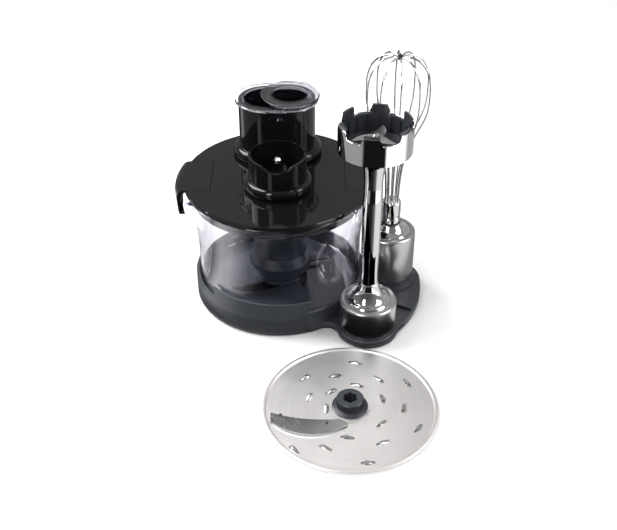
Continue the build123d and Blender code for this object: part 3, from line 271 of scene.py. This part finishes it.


# nodes whose finish differs from the rest of their slot; the blades and the hub inside the bowl take darkened
# copies of their finish, which is painted shade
SPECIAL = {
    "disc_plate": "disc_steel",
    "large_pusher": "pusher_plastic", "small_pusher": "pusher_plastic",
    "lower_blade": "blade_steel_painted_shade", "upper_blade": "blade_steel_painted_shade", "blade_hub": "hub_plastic_painted_shade",
}


def dress_frame():
    """Every CAD node gets its slot's finish, or a special one of its own."""
    for row in frame["record"]["subparts"]:
        node = row["node"]
        finish = finish_at(SPECIAL.get(node, row["material_slot"]), nearest_axis(node))
        for slot in frame["nodes"][node].material_slots:
            slot.material = finish


dress_frame()


# ------------------------------------------------------------------ mesh helpers
SHARP_ANGLE = 32.0        # degrees; edges sharper than this stay crisp
MERGE = 0.004             # millimetres; closer points of a mesh become one
APART = 0.005             # millimetres between two points of an outline
CURVE_STEPS = 7           # points between two knots of an outline
NEAR_AXIS = 1e-6          # millimetres; closer points lie on the axis itself


def around(axis, radius, angle, rise):
    """The point radius and rise millimetres off an upright axis, at an angle in radians."""
    return axis.x + radius * MM * math.cos(angle), axis.y + radius * MM * math.sin(angle), rise * MM


def stitch(bm, here, there):
    """Faces between two closed columns of points."""
    for index in range(len(here)):
        following = (index + 1) % len(here)
        bm.faces.new([here[index], there[index], there[following], here[following]])


def new_piece(name, mesh, body, slot, axis, nodes=()):
    """A piece that rides on a body, takes a slot's finish, and may stand for CAD nodes."""
    mesh.shade_smooth()
    mesh.set_sharp_from_angle(angle=math.radians(SHARP_ANGLE))
    mesh.materials.append(finish_at(slot, axis))
    piece = bpy.data.objects.new(name, mesh)
    bpy.context.scene.collection.objects.link(piece)
    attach(piece, body)
    if nodes:
        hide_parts(*nodes)
    return piece


def finish_mesh(name, bm):
    """Close up a bmesh: merge doubled points and turn every face outward."""
    bmesh.ops.remove_doubles(bm, verts=bm.verts, dist=MERGE * MM)
    bmesh.ops.recalc_face_normals(bm, faces=bm.faces)
    mesh = bpy.data.meshes.new(name)
    bm.to_mesh(mesh)
    bm.free()
    return mesh


def smooth_run(points):
    """A curve through a run's points; a run of two points stays a straight line."""
    if len(points) == 2:
        return [Vector(p) for p in points]
    knots = [Vector(p) for p in points]
    lengths = [(b - a).length for a, b in zip(knots, knots[1:])]
    slopes = [(b - a) / d for a, b, d in zip(knots, knots[1:], lengths)]
    tangents = [slopes[0]]
    for index in range(1, len(knots) - 1):
        before, after = lengths[index - 1], lengths[index]
        tangents.append((slopes[index - 1] * after + slopes[index] * before) / (before + after))
    tangents.append(slopes[-1])
    out = []
    for index, d in enumerate(lengths):
        for step in range(CURVE_STEPS):
            t = step / CURVE_STEPS
            out.append(knots[index] * (2 * t ** 3 - 3 * t ** 2 + 1)
                       + knots[index + 1] * (3 * t ** 2 - 2 * t ** 3)
                       + tangents[index] * d * (t ** 3 - 2 * t ** 2 + t)
                       + tangents[index + 1] * d * (t ** 3 - t ** 2))
    out.append(knots[-1])
    return out


def outline_of(runs):
    """Runs joined end to end; each join is a corner."""
    points = []
    for run in runs:
        for point in smooth_run(run):
            if not points or (point - points[-1]).length > APART:
                points.append(point)
    return points


def lathe(name, centre, runs, body, slot, axis, nodes=(), segments=128):
    """A closed outline of (radius, height) runs, in millimetres, turned about an upright axis."""
    outline = outline_of(runs)
    bm = bmesh.new()
    columns = []
    for segment in range(segments):
        a = 2 * math.pi * segment / segments
        columns.append([bm.verts.new(around(centre, p.x, a, p.y)) for p in outline])
    count = len(outline)
    for segment in range(segments):
        here, there = columns[segment], columns[(segment + 1) % segments]
        for index in range(count):
            following = (index + 1) % count
            corners = [here[index], there[index], there[following], here[following]]
            if outline[index].x < NEAR_AXIS:
                corners.remove(there[index])
            if outline[following].x < NEAR_AXIS:
                corners.remove(there[following])
            if len(corners) > 2:
                bm.faces.new(corners)
    return new_piece(name, finish_mesh(name, bm), body, slot, axis, nodes)


def swell(value):
    """A smooth step from 0 to 1."""
    value = min(1.0, max(0.0, value))
    return value * value * (3 - 2 * value)


# ------------------------------------------------------------------ base
PANEL_R = 91.1            # millimetres
PANEL_FROM, PANEL_TO = 220.2, 291.8     # degrees
PANEL_SLANT = 5.0         # degrees that each end draws in at the bottom
PANEL_STEPS = 72


def front_panel():
    """The raised panel round the front of the base: its face leans back and its ends slant."""
    low, top = height("front_band", False) / MM, height("front_band") / MM
    profile = [(PANEL_R - 2.6, low), (PANEL_R - 0.5, low), (PANEL_R, low + 0.5), (PANEL_R - 0.1, low + 0.9),
               (PANEL_R - 3.3, top - 0.6), (PANEL_R - 4.0, top), (PANEL_R - 5.0, top),
               (PANEL_R - 5.0, top - 2.5), (PANEL_R - 3.4, top - 3.2)]
    bm = bmesh.new()
    columns = []
    for step in range(PANEL_STEPS + 1):
        column = []
        for r, z in profile:
            lean = PANEL_SLANT * (top - z) / (top - low)
            sweep = (PANEL_TO - PANEL_FROM - 2 * lean) * step / PANEL_STEPS
            column.append(bm.verts.new(around(BOWL_AXIS, r, math.radians(PANEL_FROM + lean + sweep), z)))
        columns.append(column)
    for here, there in zip(columns, columns[1:]):
        stitch(bm, here, there)
    bm.faces.new(columns[0])
    bm.faces.new(columns[-1])
    bmesh.ops.triangulate(bm, faces=[face for face in bm.faces if len(face.verts) > 4])
    new_piece("front_panel", finish_mesh("front_panel", bm), "base", "grey_plastic", "bowl", ["front_band"])


# ------------------------------------------------------------------ blending leg
def leg_cup():
    """The brushed cup; its polished neck is a piece of its own."""
    neck_height, groove, wall, lap = 20.0, 21.6, 1.6, 4.0
    low, top = height("leg_cup", False) / MM, height("leg_cup") / MM - neck_height
    radius = (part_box("leg_cup")[1].x - LEG_AXIS.x) / MM
    lathe("leg_cup_shell", LEG_AXIS, [
        [(radius - wall, low), (radius - 0.4, low)],
        [(radius - 0.4, low), (radius - 0.1, low + 0.12), (radius, low + 0.4)],
        [(radius, low + 0.4), (radius, top - 2.3)],
        [(radius, top - 2.3), (radius - 0.25, top - 1.6), (radius - 1.2, top - 0.35), (radius - 1.9, top)],
        [(radius - 1.9, top), (groove + 1.2, top)],
        [(groove + 1.2, top), (groove + 0.6, top - 0.9)],
        [(groove + 0.6, top - 0.9), (groove - 0.2, top - 0.9)],
        [(groove - 0.2, top - 0.9), (groove - 0.2, top - lap)],
        [(groove - 0.2, top - lap), (radius - wall, top - lap)],
        [(radius - wall, top - lap), (radius - wall, low)],
    ], "leg", "brushed_steel", "leg", ["leg_cup"])
    lathe("leg_cup_neck", LEG_AXIS, [
        [(groove - 0.2, top - lap + 0.1), (groove - 0.2, top + 0.3)],
        [(groove - 0.2, top + 0.3), (20.6, top + 1.1), (17.5, top + 3.0), (14.0, top + 7.4),
         (11.5, top + 12.8), (9.9, top + 18), (9.4, top + neck_height)],
        [(9.4, top + neck_height), (6.6, top + neck_height)],
        [(6.6, top + neck_height), (6.6, top + 10), (8.0, top + 6), (16.8, top - lap + 0.1)],
        [(16.8, top - lap + 0.1), (groove - 0.2, top - lap + 0.1)],
    ], "leg", "polished_steel", "leg")


def leg_tube():
    """The polished tube, slightly waisted, that opens into the foot."""
    low, ring_low = height("leg_tube", False) / MM, height("foot_ring", False) / MM - JOIN
    neck = height("leg_cup") / MM
    rim = 32.75
    lathe("leg_tube_skin", LEG_AXIS, [
        [(5.6, low), (6.55, low)],
        [(6.55, low), (6.55, neck + 0.02)],
        [(6.55, neck + 0.02), (9.4, neck + 0.02)],
        [(9.4, neck + 0.02), (8.75, neck + 2), (8.6, neck + 4), (9.0, neck + 45), (9.4, 146),
         (9.9, 188), (11.4, 196.4), (16, 202.9), (24, 207.6), (rim - 0.6, 209.7), (rim, ring_low)],
        [(rim, ring_low), (rim, ring_low + 1.4)],
        [(rim, ring_low + 1.4), (23, 208.9), (14.6, 204.6), (8.6, 197), (7.8, 188), (7.6, 146),
         (6.7, neck + 4)],
        [(6.7, neck + 4), (5.6, neck + 0.05)],
        [(5.6, neck + 0.05), (5.6, low)],
    ], "leg", "polished_steel", "leg", ["leg_tube"])


def crown(name, outer, inner, low, edge, body, slot, node):
    """A closed band about the leg's axis whose top edge follows edge(angle in degrees)."""
    bm = bmesh.new()
    columns = []
    ease = 0.25
    for angle in range(360):
        top = edge(angle)
        section = [(outer, low), (outer, top - ease), (outer - ease, top), (inner + ease, top),
                   (inner, top - ease), (inner, low)]
        columns.append([bm.verts.new(around(LEG_AXIS, r, math.radians(angle), z)) for r, z in section])
    for here, there in zip(columns, columns[1:] + columns[:1]):
        stitch(bm, here, there)
    return new_piece(name, finish_mesh(name, bm), body, slot, "leg", [node])


TAB_PITCH = 60.0          # degrees between two tabs of the foot
FIRST_TAB = 20.0
TAB_HALF_WIDTH = 11.5     # degrees
TAB_SHOULDER = 6.5        # degrees over which a tab falls to its valley
TAB_RISE = 6.7            # millimetres


def tab_share(angle):
    """1 on a tab of the foot and 0 in a valley, with rounded shoulders."""
    away = abs((angle - FIRST_TAB + TAB_PITCH / 2) % TAB_PITCH - TAB_PITCH / 2)
    return 1 - swell((away - TAB_HALF_WIDTH) / TAB_SHOULDER)


def foot_ring():
    """The polished ring of the foot with its waved edge."""
    ring_top, ring_low = height("foot_ring") / MM, height("foot_ring", False) / MM
    valley = ring_top - TAB_RISE
    radius = (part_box("foot_ring")[1].x - LEG_AXIS.x) / MM

    def ring_edge(angle):
        return valley + (ring_top - valley) * tab_share(angle)

    wall = 1.2
    crown("foot_ring_skin", radius, radius - wall, ring_low, ring_edge, "leg", "polished_steel", "foot_ring")


# ------------------------------------------------------------------ whisk and its gearbox
def whisk_cup():
    """The brushed gearbox cup and its polished neck."""
    neck_height, groove, wall, lap, bore = 10.0, 20.8, 1.6, 4.8, 9.0
    low, top = height("whisk_cup", False) / MM, height("whisk_cup") / MM - neck_height
    radius = (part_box("whisk_cup")[1].x - WHISK_AXIS.x) / MM
    lathe("whisk_cup_shell", WHISK_AXIS, [
        [(radius - wall, low), (radius - 0.4, low)],
        [(radius - 0.4, low), (radius - 0.1, low + 0.12), (radius, low + 0.4)],
        [(radius, low + 0.4), (radius, top - 2.2)],
        [(radius, top - 2.2), (radius - 0.25, top - 1.5), (radius - 1.2, top - 0.35), (radius - 1.9, top)],
        [(radius - 1.9, top), (groove + 1.0, top)],
        [(groove + 1.0, top), (groove + 0.6, top - 0.8)],
        [(groove + 0.6, top - 0.8), (groove, top - 0.8)],
        [(groove, top - 0.8), (groove, top - lap)],
        [(groove, top - lap), (radius - wall, top - lap)],
        [(radius - wall, top - lap), (radius - wall, low)],
    ], "whisk_adapter", "brushed_steel", "whisk", ["whisk_cup"])
    lathe("whisk_cup_neck", WHISK_AXIS, [
        [(groove, top - lap + 0.1), (groove, top + 0.1)],
        [(groove, top + 0.1), (19.8, top + 0.9), (16.0, top + 3.4), (12.6, top + 7.2), (11.0, top + 9.4),
         (10.8, top + neck_height)],
        [(10.8, top + neck_height), (bore, top + neck_height)],
        [(bore, top + neck_height), (bore, top - lap + 0.1)],
        [(bore, top - lap + 0.1), (groove, top - lap + 0.1)],
    ], "whisk_adapter", "polished_steel", "whisk")


WIRE_R = 0.9              # millimetres
WIRE_COUNT = 10
FIRST_WIRE = 18.0         # degrees


def whisk_wire(name, turn, reach):
    """The path of one wire from the collar to the tip, as a smooth open spline."""
    foot_z, tip_z = height("whisk_collar") / MM - 6, height("whisk_tip") / MM - 3
    route = [(6.6, foot_z), (6.6, foot_z + 12), (7.4, 138), (11.0, 162), (20.0, 187), (30.4, 207),
             (reach + 1.4, 229), (30.4, 250), (17.5, 264.5), (7.5, tip_z + 1), (3.3, tip_z)]
    curve = bpy.data.curves.new(name, "CURVE")
    curve.dimensions = "3D"
    curve.bevel_depth = WIRE_R * MM
    curve.bevel_resolution = 4
    curve.resolution_u = 8
    curve.use_fill_caps = True
    spline = curve.splines.new("NURBS")
    spline.points.add(len(route) - 1)
    for point, (radius, rise) in zip(spline.points, route):
        point.co = (*around(WHISK_AXIS, radius, turn, rise), 1)
    spline.order_u = 4
    spline.use_endpoint_u = True
    return curve


def whisk_wires():
    """Ten wires that swell into a balloon and meet under the tip, joined as one piece."""
    reach = (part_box("whisk_wires")[1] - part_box("whisk_wires")[0]).x / 2 / MM - WIRE_R
    bm = bmesh.new()
    for index in range(WIRE_COUNT):
        turn = math.radians(FIRST_WIRE + 360 * index / WIRE_COUNT)
        curve = whisk_wire(f"wire_{index}", turn, reach)
        holder = bpy.data.objects.new(f"wire_{index}", curve)
        bm.from_mesh(bpy.data.meshes.new_from_object(holder))
        bpy.data.objects.remove(holder)
    new_piece("whisk_balloon", finish_mesh("whisk_balloon", bm), "whisk", "polished_steel", "whisk",
              ["whisk_wires"])


# ------------------------------------------------------------------ slicing and grating disc
GRATING_ROWS = 3
HOLES_IN_ROW = 6
SCOOP_TURN = 85.0         # degrees from the radius, so that a scoop cuts along the disc's rotation
SCOOP_LENGTH, SCOOP_HALF_WIDTH, SCOOP_RISE, SCOOP_WALL = 9.3, 2.5, 2.0, 0.5
SCOOP_BACK = 2.5          # the cutting edge stands this far back from the hole's middle
SCOOP_LEAST = 0.06        # the lowest height, so that the shell never folds flat
PLATE_TOP = 2.3           # millimetres


def grating_hole(row, index):
    """Radius (mm) and angle (degrees) of one grating hole; the rows wind outward clockwise."""
    return 22 + 17.3 * row + 3.5 * index, 187 - 25 * row - (56.5 - 1.2 * row) * index


def scoop(bm, place, turn):
    """A raised half-round shell over the far half of a hole, open at its cutting edge."""
    along, across = 8, 10
    sunk = Vector((0, 0, (PLATE_TOP - 0.02) * MM))
    grids = []
    for shell in (0.0, SCOOP_WALL):
        rows = []
        for step in range(along + 1):
            t = step / along
            lift = swell(1 - t) ** 0.8
            width = SCOOP_HALF_WIDTH * (0.62 + 0.38 * lift) - shell
            crest = max(SCOOP_LEAST, SCOOP_RISE * lift - shell)
            row = []
            for side in range(across + 1):
                a = math.pi * side / across
                local = Vector((SCOOP_LENGTH * t - SCOOP_BACK, width * math.cos(a), crest * math.sin(a)))
                local.rotate(turn)
                row.append(bm.verts.new(place + local * MM + sunk))
            rows.append(row)
        grids.append(rows)
    outer, inner = grids
    for step in range(along):
        for side in range(across):
            bm.faces.new([outer[step][side], outer[step + 1][side],
                          outer[step + 1][side + 1], outer[step][side + 1]])
            bm.faces.new([inner[step][side + 1], inner[step + 1][side + 1],
                          inner[step + 1][side], inner[step][side]])
        for side in (0, across):
            bm.faces.new([outer[step][side], inner[step][side], inner[step + 1][side], outer[step + 1][side]])
    for side in range(across):
        bm.faces.new([outer[0][side + 1], inner[0][side + 1], inner[0][side], outer[0][side]])
        bm.faces.new([outer[along][side], inner[along][side], inner[along][side + 1], outer[along][side + 1]])


def grating_scoops():
    """One scoop at each grating hole."""
    bm = bmesh.new()
    for row in range(GRATING_ROWS):
        for index in range(HOLES_IN_ROW):
            radius, angle = grating_hole(row, index)
            place = Vector(around(DISC_AXIS, radius, math.radians(angle), 0))
            scoop(bm, place, Euler((0, 0, math.radians(angle + SCOOP_TURN))))
    new_piece("grating_scoops", finish_mesh("grating_scoops", bm), "disc", "blade_steel", "disc")


front_panel()
leg_cup()
leg_tube()
foot_ring()
whisk_cup()
whisk_wires()
grating_scoops()


# ------------------------------------------------------------------ stage
def area_light(name, place, aim, width, length, power, colour=(1, 1, 1)):
    """A rectangular softbox that faces a point."""
    lamp = bpy.data.lights.new(name, "AREA")
    lamp.shape = "RECTANGLE"
    lamp.size = width
    lamp.size_y = length
    lamp.energy = power
    lamp.color = colour
    box = bpy.data.objects.new(name, lamp)
    box.location = place
    box.rotation_euler = (Vector(aim) - Vector(place)).to_track_quat("-Z", "Y").to_euler()
    bpy.context.scene.collection.objects.link(box)
    return box


def floor_finish():
    """Pale paper with a barely visible tooth."""
    material, tree, shader = new_finish("studio_paper", Specular_IOR_Level=0.1)
    tree.links.new(blend_colours(tree, cloud(tree, 3), (0.86, 0.86, 0.865), (0.90, 0.90, 0.90)),
                   shader.inputs["Base Color"])
    tree.links.new(span(tree, cloud(tree, 200), 0.85, 0.95), shader.inputs["Roughness"])
    relief(tree, shader, cloud(tree, 900), 0.02 * MM, 0.3)
    return material


def make_floor():
    """The table that the set stands on."""
    mesh = bpy.data.meshes.new("floor")
    half = 6.0
    corners = [(-half, -half, 0), (half, -half, 0), (half, half, 0), (-half, half, 0)]
    mesh.from_pydata(corners, [], [(0, 1, 2, 3)])
    mesh.materials.append(floor_finish())
    floor = bpy.data.objects.new("floor", mesh)
    bpy.context.scene.collection.objects.link(floor)


def make_world():
    """A pale studio that is brighter behind and on the right, and dim in front."""
    world = bpy.data.worlds.new("studio")
    world.use_nodes = True
    tree = world.node_tree
    direction = add(tree, "ShaderNodeTexCoord").outputs["Generated"]
    side = add(tree, "ShaderNodeVectorMath", {0: direction, 1: (0.35, 0.8, 0.35)}, operation="DOT_PRODUCT")
    strength = add(tree, "ShaderNodeMapRange", {"Value": side.outputs["Value"], "From Min": -0.7,
                                                "From Max": 0.7, "To Min": 0.10, "To Max": 0.42})
    background = tree.nodes["Background"]
    background.inputs["Color"].default_value = (1.0, 1.0, 1.0, 1)
    tree.links.new(strength.outputs["Result"], background.inputs["Strength"])
    bpy.context.scene.world = world


FAN_STEP = 4.0            # degrees
FAN_RISE = 0.0045         # metres: just over the loose disc
FAN_SPLIT, FAN_END = 0.28, 1.6
FAR_STOPS = [(-180, 0.05), (-134, 0.05), (-128, 1.4), (-120, 1.4), (-114, 0.42), (-44, 0.42), (-36, 0.01),
             (24, 0.01), (32, 1.8), (88, 1.8), (104, 0.5), (180, 0.5)]
NEAR_STOPS = [(-180, 0.3), (-112, 0.3), (-100, 0.02), (-8, 0.02), (6, 0.12), (22, 0.18), (36, 1.0),
              (104, 1.0), (124, 0.3), (180, 0.3)]
BOWL_STOPS = [(-84, 0.2), (-68, 2.0), (-56, 2.0), (-32, 0.0), (60, 0.0)]


def glow_at(stops, angle):
    """The brightness between two (angle, brightness) stops."""
    for (a, low), (b, high) in zip(stops, stops[1:]):
        if a <= angle <= b:
            return low + (high - low) * (angle - a) / (b - a)
    return 0.0


def mirror_fan(name, axis, near, far, stops, rise, behind_glass=False):
    """A fan over the floor about an axis, in degrees off -Y, that glows upward for reflections only."""
    start, end = stops[0][0], stops[-1][0]
    steps = round((end - start) / FAN_STEP)
    corners, glow = [], []
    for step in range(steps + 1):
        angle = start + (end - start) * step / steps
        a = math.radians(angle)
        for radius in (near, far):
            corners.append((axis.x + radius * math.sin(a), axis.y - radius * math.cos(a), rise))
            glow.append(glow_at(stops, angle))
    mesh = bpy.data.meshes.new(name)
    mesh.from_pydata(corners, [], [(2 * i, 2 * i + 1, 2 * i + 3, 2 * i + 2) for i in range(steps)])
    mesh.attributes.new("glow", "FLOAT", "POINT").data.foreach_set("value", glow)
    material = bpy.data.materials.new(name)
    material.use_nodes = True
    tree = material.node_tree
    strength = add(tree, "ShaderNodeAttribute", attribute_name="glow").outputs["Fac"]
    emission = add(tree, "ShaderNodeEmission", {"Color": (1, 1, 1, 1), "Strength": strength})
    underside = add(tree, "ShaderNodeNewGeometry").outputs["Backfacing"]
    clear = add(tree, "ShaderNodeBsdfTransparent")
    one_sided = add(tree, "ShaderNodeMixShader", {0: underside, 1: emission.outputs[0], 2: clear.outputs[0]})
    tree.links.new(one_sided.outputs[0], tree.nodes["Material Output"].inputs["Surface"])
    mesh.materials.append(material)
    fan = bpy.data.objects.new(name, mesh)
    fan.visible_camera = False
    fan.visible_diffuse = False
    fan.visible_shadow = False
    fan.visible_transmission = behind_glass
    bpy.context.scene.collection.objects.link(fan)


CAMERA_OFFSET = Vector((0.00673, -0.74789, 0.63553))     # from the middle of the footprint
CAMERA_TILT = 53.89
CAMERA_LENS = 56.456


def make_camera():
    """Looks down at the set from the front."""
    camera = bpy.data.objects.new("camera", bpy.data.cameras.new("camera"))
    camera.data.lens = CAMERA_LENS
    camera.data.clip_start = 0.02
    low, high = cad_box
    camera.location = Vector(((low[0] + high[0]) / 2, (low[1] + high[1]) / 2, low[2])) + CAMERA_OFFSET
    camera.rotation_euler = (math.radians(CAMERA_TILT), 0, 0)
    bpy.context.scene.collection.objects.link(camera)
    bpy.context.scene.camera = camera


make_floor()
make_world()
make_camera()
mirror_fan("fan_far", LEG_AXIS, FAN_SPLIT, FAN_END, FAR_STOPS, FAN_RISE)
mirror_fan("fan_near", LEG_AXIS, 0.055, FAN_SPLIT, NEAR_STOPS, FAN_RISE)
mirror_fan("fan_bowl", BOWL_AXIS, 0.10, 0.24, BOWL_STOPS, FAN_RISE + 0.0005, behind_glass=True)
area_light("key", (-1.1, 0.5, 1.5), (0, 0, 0.05), 1.2, 1.2, 48)
area_light("side", (1.2, -0.3, 0.9), (0, 0, 0.1), 0.7, 1.0, 15)
area_light("front", (-0.7, -1.1, 1.0), (0, 0, 0.1), 0.35, 0.9, 11)
bpy.context.scene.view_settings.view_transform = "Standard"
